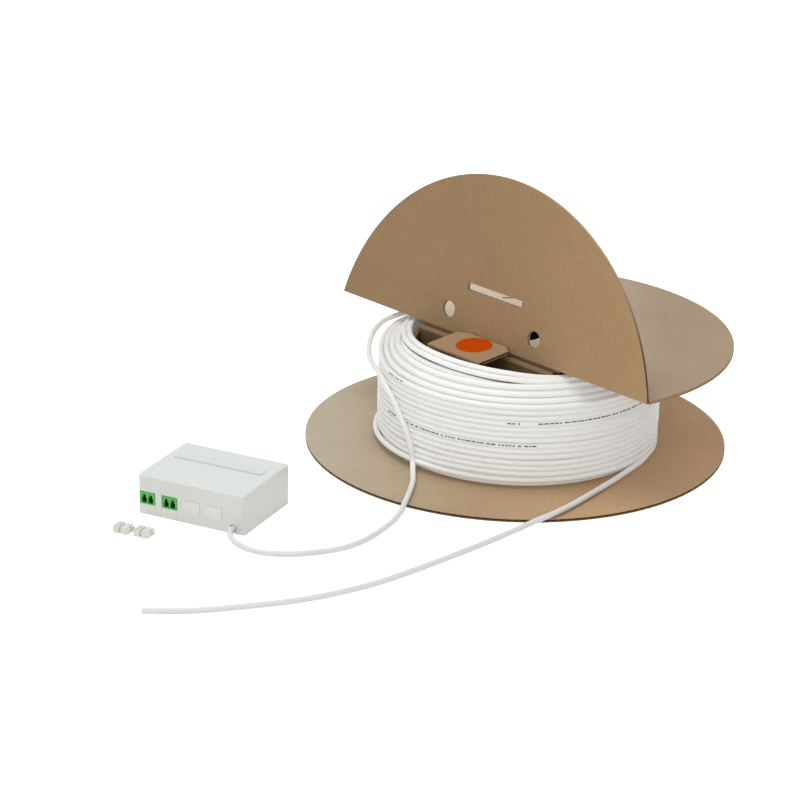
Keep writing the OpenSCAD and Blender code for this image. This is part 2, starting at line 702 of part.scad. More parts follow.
base_plate();
adapter_left();
adapter_right();
alignment_sleeves();
adapter_retainer();
retainer_screws();
pigtail_connectors();
pigtail_fibres();
splice_tray();
tray_screws();
splice_holder();
splice_protectors();
cable_fibres();
cable_entry();
cable_clamp();
clamp_screws();
box_cover();
blank_insert_left();
blank_insert_right();
dust_cap_left();
dust_cap_right();
lower_flange();
hub_shell();
hub_cross_wall();
hub_front_wall();
upper_flange_fixed();
upper_flange_flap();
locking_tab();
tab_seal();
winding_core();
cable_winding();
cable_lead();
cable_tail();
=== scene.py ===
import math
import random

import bmesh
import bpy
from mathutils import Matrix, Quaternion, Vector, noise
from mathutils.geometry import tessellate_polygon


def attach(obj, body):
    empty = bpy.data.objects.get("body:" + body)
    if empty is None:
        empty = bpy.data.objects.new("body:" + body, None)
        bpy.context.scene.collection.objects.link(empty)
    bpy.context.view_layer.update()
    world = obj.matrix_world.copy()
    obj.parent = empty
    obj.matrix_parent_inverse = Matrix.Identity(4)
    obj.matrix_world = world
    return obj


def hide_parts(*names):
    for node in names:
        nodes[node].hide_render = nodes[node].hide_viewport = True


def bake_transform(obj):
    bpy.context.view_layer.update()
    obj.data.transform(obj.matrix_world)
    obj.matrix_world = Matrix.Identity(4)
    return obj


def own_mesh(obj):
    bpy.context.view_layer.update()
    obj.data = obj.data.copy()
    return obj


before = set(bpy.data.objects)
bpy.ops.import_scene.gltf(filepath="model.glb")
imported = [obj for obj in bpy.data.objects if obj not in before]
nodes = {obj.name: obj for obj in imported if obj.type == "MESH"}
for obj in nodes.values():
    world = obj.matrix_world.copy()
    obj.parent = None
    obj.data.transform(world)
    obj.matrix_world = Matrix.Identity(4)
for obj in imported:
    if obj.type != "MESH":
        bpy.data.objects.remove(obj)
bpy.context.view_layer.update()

# Lengths below are in millimetres and become metres through MM
MM = 0.001

# Camera, placed in metres
CAMERA_PLACE = (1.0203, -1.7636, 0.9041)
CAMERA_AZIMUTH = 25.64
CAMERA_ELEVATION = 21.54
CAMERA_ROLL = 1.213
CAMERA_LENS = 117.0
SENSOR_WIDTH = 36.0

# Box
FRONT_Y = -40.0
CABLE_D = 5.0
EXIT_POINT = (41.0, -40.0, 5.2)
EXIT_RUN = (41.0, -45.0, 5.2)
COVER_H = 36.0
COVER_SOFT_H = 3.0
COVER_EDGE = 0.6
INSERT_EDGE = 0.3
CAP_EDGE = 0.35
EDGE_SEGMENTS = 3
FLAT_ANGLE = 0.5
SHARP_ANGLE = 35.0
# Depths behind the front over which the ports' painted shade grows
PORT_SHADE_FROM = 1.2
PORT_SHADE_TO = 4.5

# Reel
REEL_X = 163.0
REEL_Y = 271.0
CREASE_TURN = -20.6
FLANGE_R = 191.5
LOWER_SHIFT = (-1.2, -1.7)
BOARD_T = 3.0
LINER_T = 0.45
FLANGE_UNDER = 98.0
FLANGE_TOP = 101.0
HUB_R = 98.0
HUB_IN_R = 95.0
SPINDLE_R = 20.0
KEY_HALF = 9.3
KEY_ANGLES = (45.0, 135.0, 225.0, 315.0)
KEY_PLAY = 0.3
CLEAR = 0.3
CREASE_W = 42.5
FOLD_GAP = 0.3
HINGE_W = 42.65
HINGE_Z = 101.15
FLAP_ANGLE = 99.0
FLAP_MORE = 3.7
FLAP_SIDE = 2.6
FLAP_BACK = 2.1
CRUSH_L = 6.0
WEB_T = 0.8
FLAP_U = 3.3
FLAP_R = FLANGE_R + FLAP_MORE
FINGER_R = 7.5
FINGER_U = 53.0
FINGER_V = 19.3
SLOT_L = 66.5
SLOT_H = 6.3
SLOT_V = 45.8
SLIT_L = 9.0
SLIT_H = 2.4
SLIT_U = 16.0
SLIT_V = 3.5
WALL_TOP = 97.7
FRONT_WALL_W = 87.2
NECK_W = 40.0
NECK_LOW = 92.0
NECK_TOP = 101.0
TAB_W = 65.3
TAB_L = 41.0
TAB_Z = 101.3
TAB_CREASE_L = 4.5
TAB_TILT = 3.5
TAB_CORNER = (9.0, 6.0)
FLUTE_PITCH = 6.5
FLUTE_STEPS = 12
FLUTES_ALONG = 90.0
LOWER_FLUTES_ALONG = -41.4

# Bands along the upper rims: distance out from the board's edge and height on the board
RIM_OFF = 0.03
FLAP_BAND = ((0.02, 0.45), (0.1, 0.6), (0.1, 2.5), (-0.1, 2.8))
FIXED_BAND = ((0.0, 2.98), (0.1, 2.8), (0.1, 1.1), (0.0, 0.9))

# Sides of round outlines, and points on each span of a cable route
RIM_SIDES = 200
ARC_STEPS = 120
SPINDLE_SIDES = 48
FINGER_SIDES = 32
KEY_STEPS = 8
LEAD_SPAN = 5
TAIL_SPAN = 6
LOOSE_SPAN = 8

# Winding: radius, top, turns that lie close below the top, and turns spread from there to the bottom
LAYERS = (
    (105.5, 95.3, 3, 9),
    (110.6, 91.5, 3, 9),
    (115.7, 86.5, 3, 10),
    (120.8, 82.4, 3, 11),
    (125.9, 78.6, 1, 14),
)
OUTER_R = 125.9
CLOSE_PITCH = 5.1
WIND_LOW = 5.7
WIND_START = -215.0
WIND_END = 8.0
CROSSING_SHARE = 0.22
POINTS_PER_TURN = 60
OUTER_TOUCH = 0.02
OUTER_ROUND = 1.1
OUTER_STEP = 2.7
OUTER_CONTRAST = 5.0

# How the turns stray from true circles: a slow wobble, a rise on the left, a dip of the top turns under
# the lead and a last turn that stands away from the others; angles on the reel, and heights between which
# each grows
WOBBLE_ROUND = 1.3
WOBBLE_CLIMB = 0.31 / 36.0
WOBBLE_OUT = 0.22
WOBBLE_UP = 0.24
WOBBLE_FULL = 20.0
WOBBLE_ASIDE = Vector((7.0, 3.0, 1.0))
LEFT_ANGLE = -188.0
LEFT_HALF = 62.0
LEFT_RISE = 10.0
LEFT_GROWS = (15.0, 78.0)
LEFT_FADES = (78.0, 93.5)
DIP_ANGLE = -205.0
DIP_HALF = 42.0
DIP_DEPTH = 5.0
DIP_GROWS = (86.0, 93.0)
DIP_POINTS = (20, 40)
LAST_TURN_OUT = 4.0
LAST_TURN_BEFORE_END = 212.0
LAST_TURN_HALF = 62.0

LEAD_FLOOR = (
    (44.6, -51, 3.6), (52.2, -57.5, 2.6), (63.3, -63.2, 2.6), (74.3, -65.5, 2.6), (85.5, -64.4, 2.6),
    (96, -61, 2.6), (105.5, -56, 2.6), (112, -51.5, 2.6), (125, -40, 2.6), (136, -27, 2.6), (143, -12, 2.6),
    (147, 4, 2.6), (149, 25, 2.6), (149, 46, 2.6), (147, 63, 3.6), (144, 76, 5.6), (140, 91, 6), (131, 118, 6),
    (123, 135, 7),
)
LEAD_CLIMB = (
    (116.2, 148.4, 11.2), (113.4, 149.6, 24.2), (108.6, 151.6, 35.1), (102.8, 154.4, 43.4),
    (95.2, 158.7, 53.1), (86.9, 164.1, 61.2), (74.7, 174, 68.2), (65.6, 181, 74.5), (53, 192, 78.5),
    (45, 202.2, 81.5), (39.2, 213.6, 86), (35.4, 226.2, 90.5), (31.7, 244, 92.2), (31, 262, 93.3),
)
LEAD_INWARD = (
    (36.5, 281, 93.9), (45, 300, 94.4), (57, 315, 94.9), (68, 323, 95.2),
)
TAIL_ROUTE = (
    (289.3, 262, 5.7), (288.3, 246, 5.7), (286.3, 229, 5.7), (283.9, 208, 5.7), (280.4, 186, 5.8),
    (276.3, 161, 5.9), (271.8, 137, 6), (266.2, 116, 6.1), (259.6, 99, 5.6), (250, 77, 3.8), (238.5, 47, 2.6),
    (222.5, 3, 2.6), (206, -39, 2.6), (186.5, -80, 2.6), (156, -123.5, 2.6), (122, -156.5, 2.6),
    (85, -186.5, 2.6), (52, -204, 2.6),
)

# Two turns that spring up while the flap is open: angle on the reel, radius and height of the inner one,
# and how much lower the outer one lies
LOOSE_TURNS = (
    (-192, 103.8, 95.2, 0.1), (-178, 104.6, 95.2, 0.1), (-169, 103, 95.6, 0.2), (-160, 100.4, 96.8, 0.6),
    (-150, 99.2, 98.6, 1.2), (-138, 98.9, 100.7, 1.9), (-127, 99.6, 102.5, 2.3), (-116, 100.6, 103.6, 2.4),
    (-106, 100.6, 103.4, 2.8), (-97, 100.6, 102.8, 3.1), (-88, 100.6, 101.9, 3.1), (-80, 100.6, 100.9, 3.2),
    (-72, 100.6, 99.8, 3.1), (-63, 100.6, 98, 2.6), (-54, 100.6, 96.4, 1.4), (-44, 100.7, 95.3, 0.4),
    (-28, 100.7, 95.2, 0.3),
)
LOOSE_STEP = 5.03
TUBE_SIDES = 14

# Gap below the loose turns: its narrowest place, how it widens from there and where it ends
GAP_ANGLE = -113.0
GAP_LEAST = 0.9
GAP_MORE = 3.2
GAP_SPREAD = 33.0
GAP_MOST = 5.2
GAP_END = 64.0
GAP_FADE = 14.0
GAP_GROWS = (68.0, 82.0)

# Rows of short dashes on the winding: angles on the reel, and the height of the turn that carries them.
# A dash spans a few tilts above the turn's middle and lies just off its surface
PRINT_ROWS = (
    (-117.0, -60.0, 42.0),
    (-69.5, -65.0, 64.0),
    (-59.5, -10.0, 65.0),
    (-129.0, -119.0, 76.5),
    (-131.0, -126.5, 41.5),
)
PRINT_TILTS = (14.0, 26.0, 38.0)
PRINT_OFF = 0.03
PRINT_LENGTHS = (1.2, 4.2)
PRINT_SPACES = (0.7, 0.9, 2.2)
DASH_STEPS = 3

# Kraft paper and the fine grain of moulded plastic: scales of the grain, per metre
KRAFT_ROUGHNESS = 0.86
KRAFT_SHINE = 0.25
KRAFT_BUMP = (0.12, 0.0004)
CLOUD_SCALE = (14.0, 14.0, 14.0)
CLOUD_TINT = ((0.3, (0.93, 0.92, 0.9)), (0.7, (1.0, 1.0, 1.0)))
SPECKLE_SCALE = (1600.0, 1600.0, 1600.0)
SPECKLE_DEPTH = 0.0001

# Painted light and shade across the reel change along this direction, per metre
LIGHT_SWEEP_ALONG = (2.25, 1.075, 0.0)
LIGHT_SWEEP_START = 0.15

# Between these distances outside the winding the cable's painted glow fades and its painted shade comes in;
# then the glow's colour
CABLE_SHADE_FROM = 6.0
CABLE_SHADE_TO = 30.0
CABLE_PAINTED_GLOW = (0.92, 0.92, 0.89)

# Floor and world, in metres; the floor lies just under the part
FLOOR_HALF = 9.0
FLOOR_PLACE = (0.1, 0.1, -0.0002)
FLOOR_COLOUR = (0.86, 0.86, 0.86)
FLOOR_ROUGHNESS = 0.9
FLOOR_GLOW = 0.78
AMBIENT_COLOUR = (0.97, 0.98, 1.0)
AMBIENT_STRENGTH = 0.62


def place(obj):
    bpy.context.scene.collection.objects.link(obj)
    return obj


def mesh_piece(name, mesh, *materials):
    data = bpy.data.meshes.new(name)
    mesh.to_mesh(data)
    mesh.free()
    for material in materials:
        data.materials.append(material)
    return place(bpy.data.objects.new(name, data))


def smooth_step(value, low, high):
    share = min(max((value - low) / (high - low), 0.0), 1.0)
    return share * share * (3.0 - 2.0 * share)


def bump(value, middle, half):
    share = min(abs(value - middle) / half, 1.0)
    return (1.0 + math.cos(math.pi * share)) / 2.0


def away(angle, other):
    return abs((angle - other + 180.0) % 360.0 - 180.0)


# ---------------------------------------------------------------- camera
def add_camera():
    azimuth = math.radians(CAMERA_AZIMUTH)
    elevation = math.radians(CAMERA_ELEVATION)
    back = Vector((
        math.sin(azimuth) * math.cos(elevation),
        -math.cos(azimuth) * math.cos(elevation),
        math.sin(elevation),
    ))
    data = bpy.data.cameras.new("camera")
    data.sensor_width = SENSOR_WIDTH
    data.lens = CAMERA_LENS
    camera = place(bpy.data.objects.new("camera", data))
    camera.location = CAMERA_PLACE
    camera.rotation_mode = "QUATERNION"
    roll = Quaternion((0.0, 0.0, 1.0), math.radians(CAMERA_ROLL))
    camera.rotation_quaternion = (-back).to_track_quat("-Z", "Y") @ roll
    bpy.context.scene.camera = camera


# ---------------------------------------------------------------- materials
def new_material(name, colour, roughness):
    material = bpy.data.materials.new(name)
    material.use_nodes = True
    shader = shader_of(material)
    shader.inputs["Base Color"].default_value = (*colour, 1.0)
    shader.inputs["Roughness"].default_value = roughness
    return material


def shader_of(material):
    return material.node_tree.nodes["Principled BSDF"]


def add_node(material, kind, **values):
    node = material.node_tree.nodes.new(kind)
    for name, value in values.items():
        node.inputs[name.replace("_", " ")].default_value = value
    return node


def link(material, source, target):
    material.node_tree.links.new(source, target)


def coordinates(material, scale):
    texture = add_node(material, "ShaderNodeTexCoord")
    mapping = add_node(material, "ShaderNodeMapping")
    mapping.inputs["Scale"].default_value = scale
    link(material, texture.outputs["Object"], mapping.inputs["Vector"])
    return mapping.outputs["Vector"]


def ramp_node(material, source, stops):
    ramp = add_node(material, "ShaderNodeValToRGB")
    elements = ramp.color_ramp.elements
    elements[0].position = stops[0][0]
    elements[0].color = (*stops[0][1], 1.0)
    elements[1].position = stops[-1][0]
    elements[1].color = (*stops[-1][1], 1.0)
    for position, colour in stops[1:-1]:
        middle = elements.new(position)
        middle.color = (*colour, 1.0)
    link(material, source, ramp.inputs["Fac"])
    return ramp.outputs["Color"]


def mix_colours(material, mode, share, first, second):
    mix = material.node_tree.nodes.new("ShaderNodeMix")
    mix.data_type = "RGBA"
    mix.blend_type = mode
    mix.inputs["Factor"].default_value = share
    link(material, first, mix.inputs["A"])
    link(material, second, mix.inputs["B"])
    return mix.outputs["Result"]


def add_bump(material, height, strength, distance):
    node = add_node(material, "ShaderNodeBump", Strength=strength, Distance=distance)
    link(material, height, node.inputs["Height"])
    shader = shader_of(material)
    link(material, node.outputs["Normal"], shader.inputs["Normal"])


# Painted light and shade that change from left to right across the reel, as seen from the front
def painted_light_sweep(material, stops):
    texture = add_node(material, "ShaderNodeTexCoord")
    across = add_node(material, "ShaderNodeVectorMath")
    across.operation = "DOT_PRODUCT"
    across.inputs[1].default_value = LIGHT_SWEEP_ALONG
    link(material, texture.outputs["Object"], across.inputs[0])
    share = add_node(material, "ShaderNodeMath")
    share.operation = "SUBTRACT"
    share.inputs[1].default_value = LIGHT_SWEEP_START
    link(material, across.outputs["Value"], share.inputs[0])
    return ramp_node(material, share.outputs["Value"], stops)


def kraft_material(name, dark, light, grain_scale, sweep=None):
    material = new_material(name, light, KRAFT_ROUGHNESS)
    shader = shader_of(material)
    shader.inputs["Specular IOR Level"].default_value = KRAFT_SHINE
    fibres = add_node(material, "ShaderNodeTexNoise", Scale=1.0, Detail=5.0, Roughness=0.65)
    link(material, coordinates(material, grain_scale), fibres.inputs["Vector"])
    base = ramp_node(material, fibres.outputs["Fac"], ((0.3, dark), (0.7, light)))
    clouds = add_node(material, "ShaderNodeTexNoise", Scale=1.0, Detail=3.0, Roughness=0.5)
    link(material, coordinates(material, CLOUD_SCALE), clouds.inputs["Vector"])
    tint = ramp_node(material, clouds.outputs["Fac"], CLOUD_TINT)
    colour = mix_colours(material, "MULTIPLY", 1.0, base, tint)
    # Optional painted light and shade, multiplied in from left to right
    if sweep:
        colour = mix_colours(material, "MULTIPLY", 1.0, colour, painted_light_sweep(material, sweep))
    link(material, colour, shader.inputs["Base Color"])
    add_bump(material, fibres.outputs["Fac"], *KRAFT_BUMP)
    return material


def plastic_material(name, colour, roughness, grain):
    material = new_material(name, colour, roughness)
    speckle = add_node(material, "ShaderNodeTexNoise", Scale=1.0, Detail=2.0, Roughness=0.5)
    link(material, coordinates(material, SPECKLE_SCALE), speckle.inputs["Vector"])
    add_bump(material, speckle.outputs["Fac"], grain, SPECKLE_DEPTH)
    return material


# Painted shade: the adapter's green darkens with depth from just behind the box's front, for the shade inside
# the ports
def paint_port_shade(material, outside, inside):
    geometry = add_node(material, "ShaderNodeNewGeometry")
    parts = add_node(material, "ShaderNodeSeparateXYZ")
    link(material, geometry.outputs["Position"], parts.inputs["Vector"])
    depth = add_node(material, "ShaderNodeMapRange")
    depth.inputs["From Min"].default_value = (FRONT_Y + PORT_SHADE_FROM) * MM
    depth.inputs["From Max"].default_value = (FRONT_Y + PORT_SHADE_TO) * MM
    link(material, parts.outputs["Y"], depth.inputs["Value"])
    colour = ramp_node(material, depth.outputs["Result"], ((0.0, outside), (1.0, inside)))
    link(material, colour, shader_of(material).inputs["Base Color"])


# Painted light and shade: faces that point up take the lighter top colour, upright faces the darker side colour
def paint_light_top_shade_sides(material, top, side, low=0.15, high=0.85):
    geometry = add_node(material, "ShaderNodeNewGeometry")
    parts = add_node(material, "ShaderNodeSeparateXYZ")
    link(material, geometry.outputs["Normal"], parts.inputs["Vector"])
    colour = ramp_node(material, parts.outputs["Z"], ((low, side), (high, top)))
    link(material, colour, shader_of(material).inputs["Base Color"])


# Painted light and shade on the cable: a faint glow in the winding lifts the shade between the turns, and a
# greyer colour on the floor
def paint_cable_light_and_shade(material, on_floor, lift):
    shader = shader_of(material)
    texture = add_node(material, "ShaderNodeTexCoord")
    from_axis = add_node(material, "ShaderNodeVectorMath")
    from_axis.operation = "SUBTRACT"
    from_axis.inputs[1].default_value = (REEL_X * MM, REEL_Y * MM, 0.0)
    link(material, texture.outputs["Object"], from_axis.inputs[0])
    level = add_node(material, "ShaderNodeVectorMath")
    level.operation = "MULTIPLY"
    level.inputs[1].default_value = (1.0, 1.0, 0.0)
    link(material, from_axis.outputs["Vector"], level.inputs[0])
    distance = add_node(material, "ShaderNodeVectorMath")
    distance.operation = "LENGTH"
    link(material, level.outputs["Vector"], distance.inputs[0])
    outside = add_node(material, "ShaderNodeMapRange")
    outside.inputs["From Min"].default_value = (OUTER_R + CABLE_SHADE_FROM) * MM
    outside.inputs["From Max"].default_value = (OUTER_R + CABLE_SHADE_TO) * MM
    link(material, distance.outputs["Value"], outside.inputs["Value"])
    mix = material.node_tree.nodes.new("ShaderNodeMix")
    mix.data_type = "RGBA"
    mix.inputs["B"].default_value = (*on_floor, 1.0)
    link(material, outside.outputs["Result"], mix.inputs["Factor"])
    link(material, painted_light_sweep(material, CABLE_PAINTED_SHADE), mix.inputs["A"])
    link(material, mix.outputs["Result"], shader.inputs["Base Color"])
    glow = add_node(material, "ShaderNodeMath")
    glow.operation = "MULTIPLY_ADD"
    glow.inputs[1].default_value = -lift
    glow.inputs[2].default_value = lift
    link(material, outside.outputs["Result"], glow.inputs[0])
    link(material, glow.outputs["Value"], shader.inputs["Emission Strength"])
    shader.inputs["Emission Color"].default_value = (*CABLE_PAINTED_GLOW, 1.0)


# Painted light and shade from left to right: the lower flange greyer on the left, darker in the middle and
# lighter on the right; the fixed half pale cream on its lit left side and browner on the right; the flap darker
# on the left and lighter on the right
LOWER_PAINTED_LIGHT_SHADE = (
    (0.075, (0.71, 0.81, 0.96)), (0.35, (0.6, 0.57, 0.53)),
    (0.675, (0.71, 0.63, 0.545)), (0.925, (0.95, 0.835, 0.78)),
)
FIXED_PAINTED_LIGHT = ((0.35, (0.97, 0.96, 0.95)), (0.84, (0.55, 0.455, 0.37)))
FLAP_PAINTED_LIGHT_SHADE = (
    (0.1, (0.77, 0.77, 0.78)), (0.43, (0.83, 0.83, 0.83)),
    (0.675, (0.93, 0.93, 0.92)), (0.76, (1.0, 1.0, 0.99)),
)
# The cable's left limb darker than the rest: painted shade
CABLE_PAINTED_SHADE = ((0.19, (0.76, 0.755, 0.73)), (0.3, (0.9, 0.9, 0.875)))
EVEN_GRAIN = (260.0, 260.0, 260.0)
LONG_GRAIN = (420.0, 420.0, 140.0)
RIM_GRAIN = (500.0, 500.0, 500.0)
MEDIUM_GRAIN = (300.0, 300.0, 300.0)
kraft_face = kraft_material("kraft_face", (0.37, 0.235, 0.13), (0.42, 0.275, 0.155), EVEN_GRAIN)
kraft_lower = kraft_material("kraft_lower", (0.7, 0.525, 0.338), (0.8, 0.6, 0.386), EVEN_GRAIN, LOWER_PAINTED_LIGHT_SHADE)
kraft_fixed = kraft_material("kraft_fixed", (0.73, 0.66, 0.545), (0.82, 0.74, 0.61), EVEN_GRAIN, FIXED_PAINTED_LIGHT)
kraft_flap = kraft_material("kraft_flap", (0.425, 0.27, 0.138), (0.487, 0.314, 0.166), LONG_GRAIN, FLAP_PAINTED_LIGHT_SHADE)
# A darker copy of the board for the tab fold's front and the crease lip: painted shade
kraft_fold_shade = kraft_material("kraft_fold_shade", (0.3, 0.185, 0.095), (0.345, 0.22, 0.118), EVEN_GRAIN)
kraft_rim = kraft_material("kraft_rim", (0.5, 0.37, 0.23), (0.62, 0.48, 0.32), RIM_GRAIN)
# The flap's rim band pale on top where lit and almost black on its upright sides: painted light and shade
paint_light_top_shade_sides(kraft_rim, (0.56, 0.42, 0.27), (0.1, 0.062, 0.032), 0.4, 0.85)
# A dark copy of the board for the hub's walls and shell: painted shade inside the hub
kraft_inner_shade = kraft_material("kraft_inner_shade", (0.19, 0.115, 0.055), (0.25, 0.155, 0.08), EVEN_GRAIN)
# Pale sheet colour for the flap's slits: painted light
slit_painted_light = kraft_material("slit_painted_light", (0.56, 0.5, 0.41), (0.62, 0.56, 0.46), EVEN_GRAIN)
kraft_medium = kraft_material("kraft_medium", (0.25, 0.165, 0.09), (0.36, 0.25, 0.14), MEDIUM_GRAIN)
white_plastic = plastic_material("white_plastic", (0.76, 0.79, 0.76), 0.42, 0.05)
cover_plastic = plastic_material("cover_plastic", (0.76, 0.79, 0.76), 0.42, 0.05)
# The cover's top lighter and its sides warmer and darker: painted light and shade
paint_light_top_shade_sides(cover_plastic, (0.755, 0.79, 0.765), (0.745, 0.755, 0.69))
blank_plastic = plastic_material("blank_plastic", (0.785, 0.795, 0.73), 0.45, 0.05)
cap_plastic = plastic_material("cap_plastic", (0.77, 0.765, 0.695), 0.4, 0.05)
green_plastic = plastic_material("green_plastic", (0.06, 0.42, 0.065), 0.28, 0.02)
# Adapter green with painted shade inside the ports
port_green_shaded = plastic_material("port_green_shaded", (0.06, 0.42, 0.065), 0.28, 0.02)
paint_port_shade(port_green_shaded, (0.07, 0.46, 0.075), (0.0, 0.045, 0.0))
zirconia = plastic_material("zirconia", (0.85, 0.84, 0.8), 0.15, 0.0)
sleeve_plastic = plastic_material("sleeve_plastic", (0.55, 0.62, 0.66), 0.35, 0.02)
fibre_coating = plastic_material("fibre_coating", (0.75, 0.68, 0.2), 0.4, 0.02)
cable_sheath = plastic_material("cable_sheath", (0.9, 0.9, 0.875), 0.38, 0.03)
paint_cable_light_and_shade(cable_sheath, (0.78, 0.78, 0.757), 0.085)
print_ink = plastic_material("print_ink", (0.05, 0.05, 0.09), 0.6, 0.02)
seal_paper = plastic_material("seal_paper", (0.53, 0.062, 0.0), 0.75, 0.08)
shader_of(seal_paper).inputs["Specular IOR Level"].default_value = 0.05
screw_steel = plastic_material("screw_steel", (0.6, 0.6, 0.62), 0.3, 0.02)
shader_of(screw_steel).inputs["Metallic"].default_value = 1.0


# ---------------------------------------------------------------- cable
def curve_points(route, per_span):
    points = [Vector(p) for p in route]
    ends = [2 * points[0] - points[1]] + points + [2 * points[-1] - points[-2]]
    result = []
    for a, b, c, d in zip(ends, ends[1:], ends[2:], ends[3:]):
        for step in range(per_span):
            t = step / per_span
            steady = 2 * b + (c - a) * t
            bend = (2 * a - 5 * b + 4 * c - d) * t * t + (3 * b - a - 3 * c + d) * t ** 3
            result.append((steady + bend) / 2)
    result.append(points[-1])
    return result


def on_reel(radius, angle, height):
    turn = math.radians(angle)
    return Vector((REEL_X + radius * math.cos(turn), REEL_Y + radius * math.sin(turn), height))


def layer_heights(top, close_turns, spread_turns):
    heights = [top - CLOSE_PITCH * i for i in range(close_turns)]
    low = heights[-1]
    return heights + [low + (WIND_LOW - low) * (i + 1) / spread_turns for i in range(spread_turns)]


def winding_levels():
    levels = []
    for layer, (radius, top, close_turns, spread_turns) in enumerate(LAYERS):
        heights = layer_heights(top, close_turns, spread_turns)
        if layer % 2:
            heights.reverse()
        levels += [(layer, radius, height, i) for i, height in enumerate(heights)]
    return levels


# The outer turns touch in some places and leave thin gaps in others
def outer_height(turn, angle):
    top, spread_turns = LAYERS[-1][1], LAYERS[-1][3]
    touching = CABLE_D + OUTER_TOUCH
    slack = top - WIND_LOW - touching * spread_turns
    x = OUTER_ROUND * math.cos(math.radians(angle))
    y = OUTER_ROUND * math.sin(math.radians(angle))
    shares = []
    for i in range(spread_turns):
        shares.append(math.exp(OUTER_CONTRAST * noise.noise(Vector((x, y, OUTER_STEP * i)))))
    return top - touching * turn - slack * sum(shares[:turn]) / sum(shares)


# The first layer lies lower under the two loose turns, which leaves a thin gap
def gap_below_loose(angle):
    off = away(angle, GAP_ANGLE)
    widening = min(GAP_LEAST + GAP_MORE * (off / GAP_SPREAD) ** 2, GAP_MOST)
    return widening * smooth_step(GAP_END - off, 0.0, GAP_FADE)


def wobble_place(angle):
    turn = math.radians(angle)
    return Vector((math.cos(turn) * WOBBLE_ROUND, math.sin(turn) * WOBBLE_ROUND, WOBBLE_CLIMB * angle))


def winding_points():
    step = 360.0 / POINTS_PER_TURN
    levels = winding_levels()
    last_turn = (WIND_START - WIND_END) % 360.0
    count = round((360.0 * (len(levels) - 1) + last_turn) / step)
    points = []
    for i in range(count + 1):
        swept = i * step
        turn = min(int(swept / 360.0), len(levels) - 1)
        layer, radius, height, index = levels[turn]
        before = levels[max(turn - 1, 0)]
        here = WIND_START - swept
        last_height = before[2]
        if layer == len(LAYERS) - 1:
            height = outer_height(index, here)
            last_height = outer_height(index - 1, here) if index else before[2]
        share = smooth_step(swept / 360.0 - turn, 0.0, CROSSING_SHARE)
        radius = before[1] + (radius - before[1]) * share
        height = last_height + (height - last_height) * share
        wobble = wobble_place(here)
        radius += WOBBLE_OUT * noise.noise(wobble)
        height += WOBBLE_UP * noise.noise(wobble + WOBBLE_ASIDE) * smooth_step(height, WIND_LOW, WOBBLE_FULL)
        rise = LEFT_RISE * bump(away(here, LEFT_ANGLE), 0.0, LEFT_HALF) * smooth_step(height, *LEFT_GROWS)
        height += rise * (1.0 - smooth_step(height, *LEFT_FADES))
        dip = DIP_DEPTH * bump(away(here, DIP_ANGLE), 0.0, DIP_HALF)
        height -= dip * smooth_step(height, *DIP_GROWS) * smooth_step(i, *DIP_POINTS)
        if layer == 0:
            height -= gap_below_loose(here) * smooth_step(height, *GAP_GROWS)
        if layer == len(LAYERS) - 1:
            to_end = count * step - swept
            radius += LAST_TURN_OUT * bump(to_end, LAST_TURN_BEFORE_END, LAST_TURN_HALF)
        points.append(on_reel(radius, here, height))
    return points


def cable_points():
    winding = winding_points()
    lead_route = (EXIT_POINT, EXIT_RUN) + LEAD_FLOOR + LEAD_CLIMB + LEAD_INWARD + (winding[0],)
    lead = curve_points(lead_route, LEAD_SPAN)
    tail = curve_points((winding[-1],) + TAIL_ROUTE, TAIL_SPAN)
    return lead[:-1] + winding[:-1] + tail


def add_cable():
    points = cable_points()
    data = bpy.data.curves.new("cable", "CURVE")
    data.dimensions = "3D"
    data.bevel_depth = CABLE_D / 2 * MM
    data.bevel_resolution = 3
    data.use_fill_caps = True
    spline = data.splines.new("POLY")
    spline.points.add(len(points) - 1)
    for slot, point in zip(spline.points, points):
        slot.co = (point.x * MM, point.y * MM, point.z * MM, 1.0)
    cable = place(bpy.data.objects.new("cable", data))
    data.materials.append(cable_sheath)
    length = sum((b - a).length for a, b in zip(points, points[1:])) * MM
    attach(cable, "frame")
    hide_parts("cable_lead", "cable_winding", "winding_core", "cable_tail")
    return cable, length


def add_loose_turn(name, outward, lowered):
    route = []
    for angle, radius, height, drop in LOOSE_TURNS:
        route.append(on_reel(radius + outward, angle, height - lowered * drop))
    path = curve_points(route, LOOSE_SPAN)
    mesh = bmesh.new()
    rows = []
    for before, point, after in zip(path[:1] + path[:-1], path, path[1:] + path[-1:]):
        along = (after - before).normalized()
        side = along.cross(Vector((0.0, 0.0, 1.0))).normalized()
        upward = side.cross(along)
        turns = [2.0 * math.pi * i / TUBE_SIDES for i in range(TUBE_SIDES)]
        ring = [point + (side * math.cos(t) + upward * math.sin(t)) * (CABLE_D / 2) for t in turns]
        rows.append([mesh.verts.new(p * MM) for p in ring])
    for first, second in zip(rows, rows[1:]):
        for i in range(TUBE_SIDES):
            j = (i + 1) % TUBE_SIDES
            mesh.faces.new((first[i], first[j], second[j], second[i])).smooth = True
    bmesh.ops.recalc_face_normals(mesh, faces=mesh.faces)
    piece = mesh_piece(name, mesh, cable_sheath)
    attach(piece, "frame")
    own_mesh(piece)


# ---------------------------------------------------------------- corrugated board
def circle(x, y, radius, count):
    turns = [2.0 * math.pi * i / count for i in range(count)]
    return [(x + radius * math.cos(t), y + radius * math.sin(t)) for t in turns]


def rectangle(x0, y0, x1, y1):
    return [(x0, y0), (x1, y0), (x1, y1), (x0, y1)]


def opening(x, y, length, height):
    return rectangle(x - length / 2, y - height / 2, x + length / 2, y + height / 2)


